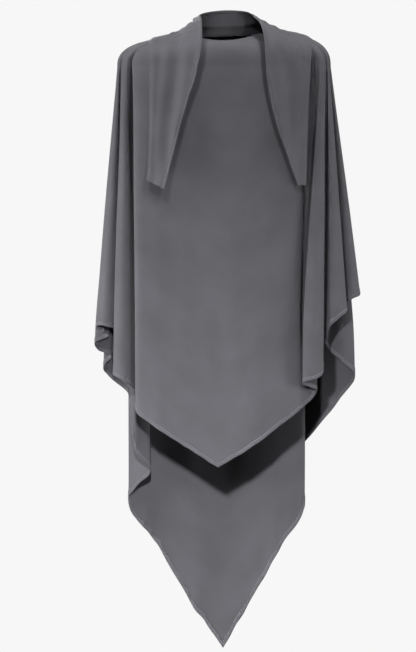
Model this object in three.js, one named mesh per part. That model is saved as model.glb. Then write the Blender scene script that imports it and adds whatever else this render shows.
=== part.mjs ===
import * as THREE from "three";

// A khimar veil, hanging as it does over a pair of shoulders.
// Millimetres, +Z up, the front faces -Y. Left and right are as seen from the front.
// The origin is the middle of the neck opening, at the height of the shoulders beside the neck.

// The shoulders that the cloth falls from
const foldTopWidth = 490; // across the cloth where its side folds begin
const foldTopFront = 96; // from the middle to the front panel there
const foldTopBack = 86; // from the middle to the back panel there
const foldTopDrop = 62; // how far that height is below the origin
const ovalPower = 2.6; // how square the oval across the shoulders is
const shoulderPower = 2.6; // how square the shoulder's slope is

// The neck opening
const neckWidth = 150;
const neckFront = 60; // from the middle forwards
const neckBack = 64; // from the middle backwards
const neckOffset = 4; // to the right of the middle of the shoulders
const neckHeight = 11; // of its edge on the shoulder line, above the origin
const neckFrontDrop = 14; // from there to the middle of the front edge
const shoulderTilt = 8; // how much higher the right shoulder is than the middle, and the left one lower

// The fall of the two panels
const fallWidth = 450; // the x of the fold tables is a share of half of this
const fallDepth = 224; // the y of the fold tables is a share of half of this
const fullFoldDrop = 655; // below the origin, where the folds are fully open
const foldEase = 0.12; // how softly they stop opening there
const foldsDeepen = 0.65; // below 1, they deepen before they spread
const frontLength = 982; // each length is from the origin down to the hem's edge
const backLength = 1402;
const leftSideLength = 657;
const rightSideLength = 602;

// Cloth, hems and the joints between pieces
const clothThickness = 1.6;
const hemThickness = 2.2;
const hemWidth = 9;
const seamGap = 0.3; // between the panels
const hemGap = 0.6; // between a panel and its hem

// The collar: a band that stands behind the neck and runs into two ties
const tieThickness = 2.2;
const collarClearance = 0.6; // between the collar and the cloth that it lies on
const collarHemWidth = 8;
const bandHeightBack = 57; // above the cloth, behind the neck
const bandHeightSide = 44; // above the cloth, beside the neck
const bandSkirtBack = 0.2; // how far out the band's foot lies behind the neck, as a share of the shoulder
const bandSkirtPower = 0.6; // how soon the foot draws in behind the shoulder line
const rollFrom = 0.25; // how far across from its outer edge the collar begins to stand off
const rollPower = 2.1; // how suddenly it does

// Faceting
const facetWidth = 74; // of a column of the panels where they are flat
const facetBend = 30; // degrees that the cloth turns from one column to the next where it is folded
const foldRounding = 9; // how far to each side a fold's turn is rounded
const shoulderRows = 6;
const fallRows = 5;
const bandColumns = 26;
const acrossCollar = 8;
const samplesPerRow = 24; // of a fold table, where columns are being placed
const halvings = 40; // when a place on the cloth is looked for
const mostHemSlant = 2.2; // how much longer than its width a hem may be, straight down

const clothColour = 0x62616a;

// Rows run from the left side seam round the front to the right side seam.
// turn: degrees round the shoulders from the front's middle, to the right.
// x, y: where the fold is at fullFoldDrop, as shares of half the fall's width and depth.
// hem: how far the hem has come down, from 0 at the side's length to 1 at the point's.
const frontFolds = [
  { name: "left seam", turn: -89, x: -1.24, y: -0.02, hem: 0.02 },
  { name: "second fold's crest", turn: -87, x: -1.32, y: -0.16, hem: 0 },
  { name: "second fold's face", turn: -83, x: -1.24, y: -0.42, hem: 0 },
  { name: "second fold's end", turn: -79, x: -1.11, y: -0.38, hem: 0.02 },
  { name: "second valley, in", turn: -76, x: -1.05, y: -0.2, hem: 0.09 },
  { name: "second valley, out", turn: -74, x: -1.01, y: -0.28, hem: 0.16 },
  { name: "first fold's crest", turn: -71, x: -1.13, y: -0.6, hem: 0.34 },
  { name: "first fold's face", turn: -67, x: -1.05, y: -0.76, hem: 0.38 },
  { name: "first fold's end", turn: -63, x: -0.96, y: -0.72, hem: 0.42 },
  { name: "first valley, in", turn: -59, x: -0.89, y: -0.4, hem: 0.46 },
  { name: "first valley, out", turn: -57, x: -0.835, y: -0.46, hem: 0.5 },
  { name: "front panel's left edge", turn: -53, x: -0.905, y: -0.85, hem: 0.6 },
  { name: "front panel's left side", turn: -38, x: -0.73, y: -0.95, hem: 0.7 },
  { name: "front panel's left part", turn: -18, x: -0.4, y: -0.99, hem: 0.85 },
  { name: "front point", turn: -2, x: -0.06, y: -1, hem: 1 },
  { name: "front panel's right part", turn: 15, x: 0.3, y: -0.98, hem: 0.87 },
  { name: "front panel's right side", turn: 32, x: 0.58, y: -0.88, hem: 0.74 },
  { name: "front panel's right edge", turn: 50, x: 0.78, y: -0.68, hem: 0.65 },
  { name: "third valley, in", turn: 54, x: 0.9, y: -0.42, hem: 0.585 },
  { name: "third valley, out", turn: 57, x: 0.95, y: -0.5, hem: 0.54 },
  { name: "third fold's edge", turn: 62, x: 0.79, y: -0.88, hem: 0.49 },
  { name: "third fold's face", turn: 66, x: 0.92, y: -0.92, hem: 0.47 },
  { name: "third fold's end", turn: 69, x: 1.01, y: -0.7, hem: 0.43 },
  { name: "fourth valley, in", turn: 71, x: 0.99, y: -0.4, hem: 0.31 },
  { name: "fourth valley, out", turn: 73, x: 1.04, y: -0.36, hem: 0.23 },
  { name: "fourth fold's edge", turn: 75, x: 1.08, y: -0.62, hem: 0.15 },
  { name: "fourth fold's face", turn: 78, x: 1.18, y: -0.6, hem: 0.1 },
  { name: "fourth fold's end", turn: 81, x: 1.28, y: -0.36, hem: 0.05 },
  { name: "fifth valley", turn: 83, x: 1.19, y: -0.15, hem: 0.03 },
  { name: "fifth fold's face", turn: 85, x: 1.36, y: -0.13, hem: -0.02 },
  { name: "fifth fold's crest", turn: 88, x: 1.45, y: 0, hem: -0.05 },
];

// The same from the right side seam round the back to the left one.
const backFolds = [
  { name: "right seam", turn: 90, x: 1.31, y: 0.08, hem: -0.02 },
  { name: "sixth valley, in", turn: 93, x: 1.06, y: 0.08, hem: 0.08 },
  { name: "sixth valley, out", turn: 95, x: 1.05, y: 0.18, hem: 0.13 },
  { name: "sixth fold's face", turn: 98, x: 1.2, y: 0.23, hem: 0.17 },
  { name: "sixth fold's crest", turn: 102, x: 1.35, y: 0.39, hem: 0.21 },
  { name: "sixth fold's back", turn: 109, x: 1.2, y: 0.7, hem: 0.275 },
  { name: "right lap, outside", turn: 116, x: 0.88, y: 1.12, hem: 0.39 },
  { name: "right lap, turn", turn: 121, x: 0.63, y: 1.25, hem: 0.47 },
  { name: "right lap, turned", turn: 123, x: 0.62, y: 1.15, hem: 0.5 },
  { name: "right lap, inside", turn: 126, x: 0.72, y: 1.07, hem: 0.53 },
  { name: "tail's right corner", turn: 129, x: 0.835, y: 0.98, hem: 0.575 },
  { name: "tail's right edge", turn: 132, x: 0.82, y: 0.88, hem: 0.6 },
  { name: "tail's right side", turn: 143, x: 0.6, y: 0.86, hem: 0.7 },
  { name: "tail's right part", turn: 160, x: 0.32, y: 0.94, hem: 0.84 },
  { name: "back point", turn: 180, x: -0.01, y: 1, hem: 1 },
  { name: "tail's left part", turn: 200, x: -0.36, y: 0.97, hem: 0.85 },
  { name: "tail's left side", turn: 218, x: -0.68, y: 0.98, hem: 0.68 },
  { name: "tail's left corner", turn: 229, x: -0.99, y: 0.8, hem: 0.54 },
  { name: "left pleat, back", turn: 234, x: -0.9, y: 0.66, hem: 0.5 },
  { name: "left pleat, turn", turn: 239, x: -0.76, y: 0.32, hem: 0.45 },
  { name: "left pleat, edge", turn: 243, x: -0.91, y: 0.12, hem: 0.39 },
  { name: "left lap's end", turn: 248, x: -0.98, y: 0.42, hem: 0.21 },
  { name: "left lap's crest", turn: 253, x: -1.2, y: 0.6, hem: 0.15 },
  { name: "left lap's front", turn: 255, x: -1.24, y: 0.5, hem: 0.13 },
  { name: "seventh valley", turn: 259, x: -1.16, y: 0.4, hem: 0.095 },
  { name: "seventh fold's back", turn: 262, x: -1.3, y: 0.33, hem: 0.075 },
  { name: "seventh fold's crest", turn: 265, x: -1.34, y: 0.22, hem: 0.055 },
  { name: "left seam's valley", turn: 268, x: -1.17, y: 0.1, hem: 0.03 },
];

// Sections of the ties, from the shoulder line to the free end.
// fall: 0 on the shoulder line, 1 where the folds begin, 2 where they are fully open.
// outer, inner: the two edges, as shares of half the fall's width.
// roll: how far the inner edge stands off the cloth, in shares of bandHeightSide.
// lift: the same for the whole width.
const leftTieSections = [
  { fall: 0, outer: -0.77, inner: -0.245, roll: 1, lift: 0.06 },
  { fall: 0.25, outer: -0.77, inner: -0.235, roll: 0.95, lift: 0.05 },
  { fall: 0.5, outer: -0.77, inner: -0.22, roll: 0.82, lift: 0.04 },
  { fall: 0.75, outer: -0.765, inner: -0.22, roll: 0.66, lift: 0.03 },
  { fall: 1, outer: -0.76, inner: -0.26, roll: 0.48, lift: 0.03 },
  { fall: 1.12, outer: -0.76, inner: -0.35, roll: 0.36, lift: 0.05 },
  { fall: 1.24, outer: -0.76, inner: -0.44, roll: 0.3, lift: 0.09 },
  { fall: 1.36, outer: -0.765, inner: -0.52, roll: 0.26, lift: 0.17 },
  { fall: 1.465, outer: -0.77, inner: -0.595, roll: 0.24, lift: 0.3 },
];
const rightTieSections = [
  { fall: 0, outer: 0.9, inner: 0.28, roll: 0.96, lift: 0.06 },
  { fall: 0.25, outer: 0.9, inner: 0.325, roll: 0.95, lift: 0.05 },
  { fall: 0.5, outer: 0.895, inner: 0.37, roll: 0.88, lift: 0.04 },
  { fall: 0.75, outer: 0.89, inner: 0.4, roll: 0.74, lift: 0.03 },
  { fall: 1, outer: 0.88, inner: 0.415, roll: 0.54, lift: 0.03 },
  { fall: 1.12, outer: 0.86, inner: 0.455, roll: 0.38, lift: 0.05 },
  { fall: 1.24, outer: 0.845, inner: 0.53, roll: 0.3, lift: 0.07 },
  { fall: 1.36, outer: 0.83, inner: 0.635, roll: 0.24, lift: 0.1 },
  { fall: 1.46, outer: 0.815, inner: 0.72, roll: 0.2, lift: 0.16 },
];

const folds = [...frontFolds, ...backFolds];
const seamRight = frontFolds.length;
const seamLeft = folds.length;
const placeOf = (name) => folds.findIndex((row) => row.name === name);
const frontPoint = placeOf("front point");
const backPoint = placeOf("back point");
const leftEdge = placeOf("front panel's left edge");
const rightEdge = placeOf("third valley, in");

const radians = THREE.MathUtils.degToRad;
const mix = THREE.MathUtils.lerp;
const signedPower = (value, power) => Math.sign(value) * Math.abs(value) ** power;

// The plan of the cloth where its folds are fully open, one span for each row.
const openPlan = new THREE.CatmullRomCurve3(
  folds.map((row) => new THREE.Vector3((row.x * fallWidth) / 2, (row.y * fallDepth) / 2, 0)),
  true,
  "centripetal",
);
const planSteps = samplesPerRow * folds.length;
openPlan.arcLengthDivisions = planSteps;
const planLengths = openPlan.getLengths();
const planLength = planLengths[planSteps];
const roundingShares = [-1, -0.67, -0.33, 0, 0.33, 0.67, 1];
const roundingWeights = [0.07, 0.13, 0.19, 0.22, 0.19, 0.13, 0.07];

// A point of that plan with the turns rounded; place counts rows from the left seam.
function planPoint(place) {
  const step = ((place / folds.length + 1) % 1) * planSteps;
  const first = Math.floor(step);
  const length = mix(planLengths[first], planLengths[first + 1] ?? planLength, step - first);
  const point = new THREE.Vector3();
  roundingShares.forEach((share, k) => {
    const along = (length + share * foldRounding + planLength) % planLength;
    point.addScaledVector(openPlan.getPointAt(along / planLength), roundingWeights[k]);
  });
  return point;
}

// A column of a fold table between two rows; place counts rows from the left seam.
function between(place, column) {
  const first = Math.floor(place);
  const a = folds[(first + folds.length) % folds.length][column];
  let b = folds[(first + 1 + folds.length) % folds.length][column];
  if (column === "turn" && b < a) b += 360;
  return mix(a, b, place - first);
}

function neckEdge(turn) {
  const angle = radians(turn);
  const forward = Math.cos(angle);
  return new THREE.Vector3(
    neckOffset + (neckWidth / 2) * Math.sin(angle),
    -forward * (forward > 0 ? neckFront : neckBack),
    neckHeight - (forward > 0 ? neckFrontDrop * forward ** 2 : 0),
  );
}

function foldTop(turn) {
  const angle = radians(turn);
  const forward = signedPower(Math.cos(angle), 2 / ovalPower);
  return new THREE.Vector3(
    (foldTopWidth / 2) * signedPower(Math.sin(angle), 2 / ovalPower),
    -forward * (forward > 0 ? foldTopFront : foldTopBack),
    -foldTopDrop,
  );
}

// The slope from the neck's edge to where the folds begin, as shares of the way out and down.
// Below 0 it goes on flat into the neck opening, which only the collar does.
function slope(level) {
  if (level < 0) return { out: level, down: 0 };
  const angle = (Math.min(level, 1) * Math.PI) / 2;
  return {
    out: Math.sin(angle) ** (2 / shoulderPower),
    down: 1 - Math.cos(angle) ** (2 / shoulderPower),
  };
}

function onShoulder(turn, level) {
  const { out, down } = slope(level);
  const neck = neckEdge(turn);
  const top = foldTop(turn);
  const point = new THREE.Vector3(mix(neck.x, top.x, out), mix(neck.y, top.y, out), mix(neck.z, top.z, down));
  point.z += (shoulderTilt * (1 - down) * point.x) / (foldTopWidth / 2);
  return point;
}

// How far the folds have opened at a height: 0 at their top, 1 from fullFoldDrop down.
function opened(height) {
  const left = 1 + (height + foldTopDrop) / (fullFoldDrop - foldTopDrop);
  const eased = (share) => (share + Math.hypot(share, foldEase)) / 2;
  return Math.max(0, eased(1) - eased(left));
}

function onFall(place, height) {
  const top = foldTop(between(place, "turn"));
  const low = planPoint(place);
  const share = opened(height);
  return new THREE.Vector3(mix(top.x, low.x, share), mix(top.y, low.y, share ** foldsDeepen), height);
}

function hemHeight(place) {
  const leftSide = place < frontPoint || place > backPoint;
  const pointLength = place <= seamRight ? frontLength : backLength;
  const sideLength = leftSide ? leftSideLength : rightSideLength;
  return -mix(sideLength, pointLength, between(place, "hem"));
}

// How much longer a hem's width is when measured straight down the slanting cloth.
function hemSlant(place) {
  const step = 1 / samplesPerRow;
  const a = onFall(place, hemHeight(place));
  const b = onFall(place + step, hemHeight(place + step));
  const run = Math.hypot(b.x - a.x, b.y - a.y);
  return Math.min(mostHemSlant, Math.hypot(run, b.z - a.z) / run);
}

// Columns of a panel, as places in the fold tables, closer together where the cloth bends.
function columnPlaces(first, last) {
  const samples = samplesPerRow * (last - first);
  const place = (sample) => mix(first, last, sample / samples);
  const totals = [0];
  let before = planPoint(place(0)).sub(planPoint(place(-1)));
  for (let sample = 1; sample <= samples; sample += 1) {
    const step = planPoint(place(sample)).sub(planPoint(place(sample - 1)));
    const bend = THREE.MathUtils.radToDeg(step.angleTo(before));
    totals.push(totals[sample - 1] + step.length() / facetWidth + bend / facetBend);
    before = step;
  }
  const count = Math.ceil(totals[samples]);
  const places = [];
  for (let column = 0; column < count; column += 1) {
    const target = (column / count) * totals[samples];
    const after = Math.max(1, totals.findIndex((total) => total > target));
    const part = (target - totals[after - 1]) / (totals[after] - totals[after - 1]);
    places.push(place(after - 1 + part));
  }
  places.push(last);
  return places;
}

// Moves a guided grid's first and last columns in by half a seam's gap.
function withSeamGaps(columns) {
  const pull = (edge, next) =>
    edge.forEach((point, row) => {
      const inwards = next[row].clone().sub(point).setLength(seamGap / 2);
      point.add(inwards);
    });
  pull(columns[1], columns[2]);
  pull(columns[columns.length - 2], columns[columns.length - 3]);
  return columns;
}

// The rows of a panel down to its hem, then the hem's top and bottom.
function panelColumn(place) {
  const turn = between(place, "turn");
  const column = [];
  for (let row = 0; row <= shoulderRows; row += 1) column.push(onShoulder(turn, row / shoulderRows));
  const bottom = hemHeight(place);
  const slanted = hemSlant(place);
  const panelBottom = bottom + (hemWidth + hemGap) * slanted;
  for (let row = 1; row <= fallRows; row += 1)
    column.push(onFall(place, mix(-foldTopDrop, panelBottom, row / fallRows)));
  column.push(onFall(place, bottom + hemWidth * slanted), onFall(place, bottom));
  return column;
}

// A sheet of cloth as a closed solid: a grid of points on its middle, given a thickness.
// The grid is columns of rows, running left to right and top to bottom as seen from outside.
// The margins are how many of its columns and rows only guide the direction of the cloth at its edges.
function clothSolid(grid, thickness, { left = 0, right = 0, top = 0, bottom = 0 }) {
  const across = grid.length - left - right;
  const down = grid[0].length - top - bottom;
  const at = (column, row) =>
    grid[THREE.MathUtils.clamp(column + left, 0, grid.length - 1)][
      THREE.MathUtils.clamp(row + top, 0, grid[0].length - 1)
    ];
  const positions = [];
  for (const side of [0.5, -0.5])
    for (let c = 0; c < across; c += 1)
      for (let r = 0; r < down; r += 1) {
        const alongRow = at(c + 1, r).clone().sub(at(c - 1, r));
        const alongColumn = at(c, r + 1).clone().sub(at(c, r - 1));
        const outwards = alongColumn.cross(alongRow).setLength(side * thickness);
        positions.push(...at(c, r).clone().add(outwards).toArray());
      }
  const outer = (c, r) => c * down + r;
  const inner = (c, r) => across * down + c * down + r;
  const faces = [];
  const quad = (a, b, c, d) => faces.push(a, b, c, a, c, d);
  for (let c = 0; c < across - 1; c += 1)
    for (let r = 0; r < down - 1; r += 1) {
      quad(outer(c, r), outer(c, r + 1), outer(c + 1, r + 1), outer(c + 1, r));
      quad(inner(c, r), inner(c + 1, r), inner(c + 1, r + 1), inner(c, r + 1));
    }
  for (let c = 0; c < across - 1; c += 1) {
    quad(outer(c, 0), outer(c + 1, 0), inner(c + 1, 0), inner(c, 0));
    quad(outer(c, down - 1), inner(c, down - 1), inner(c + 1, down - 1), outer(c + 1, down - 1));
  }
  for (let r = 0; r < down - 1; r += 1) {
    quad(outer(0, r), inner(0, r), inner(0, r + 1), outer(0, r + 1));
    quad(outer(across - 1, r), outer(across - 1, r + 1), inner(across - 1, r + 1), inner(across - 1, r));
  }
  const geometry = new THREE.BufferGeometry();
  geometry.setAttribute("position", new THREE.Float32BufferAttribute(positions, 3));
  geometry.setIndex(faces);
  geometry.computeVertexNormals();
  return geometry;
}

// Halves an interval until rising(value) is at target.
function solve(rising, target, low, high) {
  let [a, b] = [low, high];
  for (let step = 0; step < halvings; step += 1) {
    const middle = (a + b) / 2;
    if (rising(middle) < target) a = middle;
    else b = middle;
  }
  return (a + b) / 2;
}

// The level on the shoulder line at which the slope is this far from the middle.
function ridgeLevel(x) {
  const side = Math.sign(x);
  return solve((level) => side * onShoulder(side * 90, level).x, Math.abs(x), -1, 1);
}

const ridgeEase = 1.7; // spaces a tie's rows evenly over the shoulder line

// A point of the front of the cloth at a distance x from the middle, as far down as a tie's fall says.
function onFront(x, fall) {
  if (fall > 1) {
    const height = mix(-foldTopDrop, -fullFoldDrop, fall - 1);
    const place = solve((value) => onFall(value, height).x, x, leftEdge, rightEdge);
    return onFall(place, height);
  }
  const level = mix(ridgeLevel(x), 1, fall ** ridgeEase);
  const turn = solve((value) => onShoulder(value, level).x, x, -90, 90);
  return onShoulder(turn, level);
}

const standOff = (clothThickness + tieThickness) / 2 + collarClearance;

// The way off the cloth, from the steps across it to the right and down it.
function offCloth(across, down) {
  return down.cross(across).normalize();
}

// How much of the inner edge's stand-off a point has that lies this far in from the outer edge.
function rolled(share) {
  return Math.max(0, (share - rollFrom) / (1 - rollFrom)) ** rollPower;
}

// One row of a tie's table, or between two; share is how far down the tie.
function tieSection(sections, share) {
  const place = share * (sections.length - 1);
  const first = Math.min(Math.floor(place), sections.length - 2);
  const [a, b] = [sections[first], sections[first + 1]];
  const value = (column) => mix(a[column], b[column], place - first);
  return {
    fall: value("fall"),
    outer: (value("outer") * fallWidth) / 2,
    inner: (value("inner") * fallWidth) / 2,
    roll: value("roll") * bandHeightSide,
    lift: value("lift") * bandHeightSide,
  };
}

// A point of a tie; share is 0 at the outer edge and 1 at the inner one.
function onTie(sections, along, share) {
  const { fall, outer, inner, roll, lift } = tieSection(sections, along);
  const x = mix(outer, inner, share);
  const point = onFront(x, fall);
  const across = onFront(x + 1, fall).sub(point);
  const down = onFront(x, fall + 0.02).sub(point);
  return point.addScaledVector(offCloth(across, down), standOff + lift + roll * rolled(share));
}

// Shares of the way across the collar: its body's steps, then the two edges of its hem.
function acrossShares(surface) {
  let width = 0;
  for (let step = 1; step <= acrossCollar; step += 1)
    width += surface(step / acrossCollar).distanceTo(surface((step - 1) / acrossCollar));
  const hemTop = 1 - collarHemWidth / width;
  const bodyEnd = hemTop - hemGap / width;
  const shares = [];
  for (let step = 0; step <= acrossCollar; step += 1) shares.push((step / acrossCollar) * bodyEnd);
  return [...shares, hemTop, 1];
}

// A tie as columns from its outer edge to its inner one, each from the shoulder line down.
function tieGrid(sections) {
  const rows = 2 * (sections.length - 1);
  const lines = [];
  for (let row = 0; row <= rows; row += 1) {
    const surface = (share) => onTie(sections, row / rows, share);
    lines.push(acrossShares(surface).map(surface));
  }
  return lines[0].map((_, column) => lines.map((line) => line[column]));
}

// The band behind the neck: turn runs from 90 on the right round the back to 270 on the left.
function onBand(turn, share) {
  const behind = Math.abs(Math.cos(radians(turn)));
  const sections = turn < 180 ? rightTieSections : leftTieSections;
  const { outer, inner } = tieSection(sections, 0);
  const foot = mix(ridgeLevel(outer), bandSkirtBack, behind ** bandSkirtPower);
  const level = mix(foot, ridgeLevel(inner), share);
  const across = onShoulder(turn + 1, level).sub(onShoulder(turn - 1, level));
  const down = onShoulder(turn, level + 0.01).sub(onShoulder(turn, level - 0.01));
  const height = mix(bandHeightSide, bandHeightBack, behind) * rolled(share);
  return onShoulder(turn, level).addScaledVector(offCloth(across, down), standOff + height);
}

// The band as columns from right to left round the neck, each from its upper edge down to its foot.
function bandGrid() {
  const columns = [];
  for (let column = 0; column <= bandColumns; column += 1) {
    const surface = (share) => onBand(mix(90, 270, column / bandColumns), share);
    columns.push(acrossShares(surface).map(surface).reverse());
  }
  return columns;
}

// Cuts a piece of the collar square on the shoulder line; side is 1 behind it and -1 in front.
function cutOnShoulder(geometry, side) {
  const position = geometry.getAttribute("position");
  for (let k = 0; k < position.count; k += 1)
    if (Math.abs(position.getY(k)) < tieThickness) position.setY(k, (side * seamGap) / 2);
  return geometry;
}

const khimar = new THREE.Group();

function addPiece(name, geometry) {
  const material = new THREE.MeshStandardMaterial({ color: clothColour, roughness: 0.85, metalness: 0 });
  const mesh = new THREE.Mesh(geometry, material);
  mesh.name = name;
  khimar.add(mesh);
}

// A panel and its hem, with the first column beyond each seam as a guide.
function addPanel(panelName, hemName, places, before, after) {
  const grid = withSeamGaps([before, ...places, after].map(panelColumn));
  const panel = grid.map((column) => column.slice(0, -1));
  const hem = grid.map((column) => column.slice(-3));
  addPiece(panelName, clothSolid(panel, clothThickness, { left: 1, right: 1, bottom: 1 }));
  addPiece(hemName, clothSolid(hem, hemThickness, { left: 1, right: 1, top: 1 }));
}

const frontPlaces = [...columnPlaces(0, frontPoint).slice(0, -1), ...columnPlaces(frontPoint, seamRight)];
const backPlaces = [...columnPlaces(seamRight, backPoint).slice(0, -1), ...columnPlaces(backPoint, seamLeft)];
addPanel("front_panel", "front_hem", frontPlaces, backPlaces.at(-2) - seamLeft, backPlaces[1]);
addPanel("back_panel", "back_hem", backPlaces, frontPlaces.at(-2), frontPlaces[1] + seamLeft);

// A tie and its hem; each guides the other along the line where they meet.
const leftTie = tieGrid(leftTieSections);
addPiece("left_tie", cutOnShoulder(clothSolid(leftTie.slice(0, -1), tieThickness, { right: 1 }), -1));
addPiece("left_tie_hem", cutOnShoulder(clothSolid(leftTie.slice(-3), tieThickness, { left: 1 }), -1));
const rightTie = tieGrid(rightTieSections).reverse();
addPiece("right_tie", cutOnShoulder(clothSolid(rightTie.slice(1), tieThickness, { left: 1 }), -1));
addPiece("right_tie_hem", cutOnShoulder(clothSolid(rightTie.slice(0, 3), tieThickness, { right: 1 }), -1));

const band = bandGrid();
const bandBody = band.map((column) => column.slice(1));
const bandHem = band.map((column) => column.slice(0, 3));
addPiece("neck_band", cutOnShoulder(clothSolid(bandBody, tieThickness, { top: 1 }), 1));
addPiece("neck_band_hem", cutOnShoulder(clothSolid(bandHem, tieThickness, { bottom: 1 }), 1));

export default khimar;
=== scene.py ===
import math

import bmesh
import bpy
import numpy as np
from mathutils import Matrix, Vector


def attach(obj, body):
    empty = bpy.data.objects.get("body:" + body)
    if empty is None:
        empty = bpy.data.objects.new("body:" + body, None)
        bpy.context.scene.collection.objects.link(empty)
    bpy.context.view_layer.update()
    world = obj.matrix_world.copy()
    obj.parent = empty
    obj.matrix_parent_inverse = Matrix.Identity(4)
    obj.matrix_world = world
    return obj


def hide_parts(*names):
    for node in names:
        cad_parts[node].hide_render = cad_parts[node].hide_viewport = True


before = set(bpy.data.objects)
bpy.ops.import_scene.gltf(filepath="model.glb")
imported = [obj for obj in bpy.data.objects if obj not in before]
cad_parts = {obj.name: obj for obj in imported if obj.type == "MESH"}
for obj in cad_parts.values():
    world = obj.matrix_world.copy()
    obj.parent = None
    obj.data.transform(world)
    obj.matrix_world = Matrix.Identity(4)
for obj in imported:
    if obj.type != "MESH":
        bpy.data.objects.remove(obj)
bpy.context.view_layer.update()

# A khimar veil, hanging as it does over a pair of shoulders. Shapes are worked out in millimetres
# and turned to metres when a mesh is made. The front faces -Y; left and right are as seen from there.

# The form

form = {  # mm, and shares without a unit
    "thickness": 1.6,           # of the plain solids that the pieces stand for
    "foldTopWidth": 490, "foldTopFront": 96, "foldTopBack": 86,  # the oval where the folds begin
    "foldTopDrop": 62,          # how far it lies below the origin
    "ovalPower": 2.6,           # how square that oval is
    "shoulderPower": 2.6,       # and how square the shoulders are
    "shoulderTilt": 8,          # the right shoulder higher, the left lower
    "neckWidth": 150, "neckFront": 60, "neckBack": 64, "neckOffset": 4,
    "neckHeight": 11, "neckFrontDrop": 14,
    "fallWidth": 450, "fallDepth": 224,  # the fold tables' x and y are shares of half of these
    "fullFoldDrop": 655,        # where the folds are open
    "foldEase": 0.12,           # how softly they stop opening there
    "foldsDeepen": 0.65,        # below 1: they deepen sooner than they widen
    "foldRounding": 9,          # how far to each side a fold's turn is rounded
    "frontLength": 982, "backLength": 1402, "leftSideLength": 657, "rightSideLength": 602,
}
stepsPerRow = 60  # of the fine curve through the fold tables

# how far along, as a share of foldRounding, and its weight in the soft average that rounds the folds
roundingWeights = [
    (-1, 0.07), (-0.67, 0.13), (-0.33, 0.19), (0, 0.22), (0.33, 0.19), (0.67, 0.13), (1, 0.07),
]

# name, turn round the shoulders in degrees, x and y of the open folds as shares, hem as a share
frontFolds = [
    ("left seam", -89, -1.24, -0.02, 0.02),
    ("second fold's crest", -87, -1.32, -0.16, 0),
    ("second fold's face", -83, -1.24, -0.42, 0),
    ("second fold's end", -79, -1.11, -0.38, 0.02),
    ("second valley, in", -76, -1.05, -0.2, 0.09),
    ("second valley, out", -74, -1.01, -0.28, 0.16),
    ("first fold's crest", -71, -1.13, -0.6, 0.34),
    ("first fold's face", -67, -1.05, -0.76, 0.38),
    ("first fold's end", -63, -0.96, -0.72, 0.42),
    ("first valley, in", -59, -0.89, -0.4, 0.46),
    ("first valley, out", -57, -0.835, -0.46, 0.5),
    ("front panel's left edge", -53, -0.905, -0.85, 0.6),
    ("front panel's left side", -38, -0.73, -0.95, 0.7),
    ("front panel's left part", -18, -0.4, -0.99, 0.85),
    ("front point", -2, -0.06, -1, 1),
    ("front panel's right part", 15, 0.3, -0.98, 0.87),
    ("front panel's right side", 32, 0.58, -0.88, 0.74),
    ("front panel's right edge", 50, 0.78, -0.68, 0.65),
    ("third valley, in", 54, 0.9, -0.42, 0.585),
    ("third valley, out", 57, 0.95, -0.5, 0.54),
    ("third fold's edge", 62, 0.79, -0.88, 0.49),
    ("third fold's face", 66, 0.92, -0.92, 0.47),
    ("third fold's end", 69, 1.01, -0.7, 0.43),
    ("fourth valley, in", 71, 0.99, -0.4, 0.31),
    ("fourth valley, out", 73, 1.04, -0.36, 0.23),
    ("fourth fold's edge", 75, 1.08, -0.62, 0.15),
    ("fourth fold's face", 78, 1.18, -0.6, 0.1),
    ("fourth fold's end", 81, 1.28, -0.36, 0.05),
    ("fifth valley", 83, 1.19, -0.15, 0.03),
    ("fifth fold's face", 85, 1.36, -0.13, -0.02),
    ("fifth fold's crest", 88, 1.45, 0, -0.05),
]
backFolds = [
    ("right seam", 90, 1.31, 0.08, -0.02),
    ("sixth valley, in", 93, 1.06, 0.08, 0.08),
    ("sixth valley, out", 95, 1.05, 0.18, 0.13),
    ("sixth fold's face", 98, 1.2, 0.23, 0.17),
    ("sixth fold's crest", 102, 1.35, 0.39, 0.21),
    ("sixth fold's back", 109, 1.2, 0.7, 0.275),
    ("right lap, outside", 116, 0.88, 1.12, 0.39),
    ("right lap, turn", 121, 0.63, 1.25, 0.47),
    ("right lap, turned", 123, 0.62, 1.15, 0.5),
    ("right lap, inside", 126, 0.72, 1.07, 0.53),
    ("tail's right corner", 129, 0.835, 0.98, 0.575),
    ("tail's right edge", 132, 0.82, 0.88, 0.6),
    ("tail's right side", 143, 0.6, 0.86, 0.7),
    ("tail's right part", 160, 0.32, 0.94, 0.84),
    ("back point", 180, -0.01, 1, 1),
    ("tail's left part", 200, -0.36, 0.97, 0.85),
    ("tail's left side", 218, -0.68, 0.98, 0.68),
    ("tail's left corner", 229, -0.99, 0.8, 0.54),
    ("left pleat, back", 234, -0.9, 0.66, 0.5),
    ("left pleat, turn", 239, -0.76, 0.32, 0.45),
    ("left pleat, edge", 243, -0.91, 0.12, 0.39),
    ("left lap's end", 248, -0.98, 0.42, 0.21),
    ("left lap's crest", 253, -1.2, 0.6, 0.15),
    ("left lap's front", 255, -1.24, 0.5, 0.13),
    ("seventh valley", 259, -1.16, 0.4, 0.095),
    ("seventh fold's back", 262, -1.3, 0.33, 0.075),
    ("seventh fold's crest", 265, -1.34, 0.22, 0.055),
    ("left seam's valley", 268, -1.17, 0.1, 0.03),
]
folds = frontFolds + backFolds
rowCount = len(folds)
seamRight = len(frontFolds)
rowNames = [row[0] for row in folds]
frontPoint = rowNames.index("front point")
backPoint = rowNames.index("back point")
leftEdge = rowNames.index("front panel's left edge")
rightEdge = rowNames.index("third valley, in")
tailFrom = rowNames.index("tail's right corner")
tailTo = rowNames.index("tail's left corner")


def mix(a, b, share):
    return a + (b - a) * share


def smooth(low, high, value):  # 0 below low, 1 above high
    t = np.clip((value - low) / (high - low), 0, 1)
    return t * t * (3 - 2 * t)


def points(*columns):
    return np.stack(np.broadcast_arrays(*columns), axis=-1)


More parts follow.
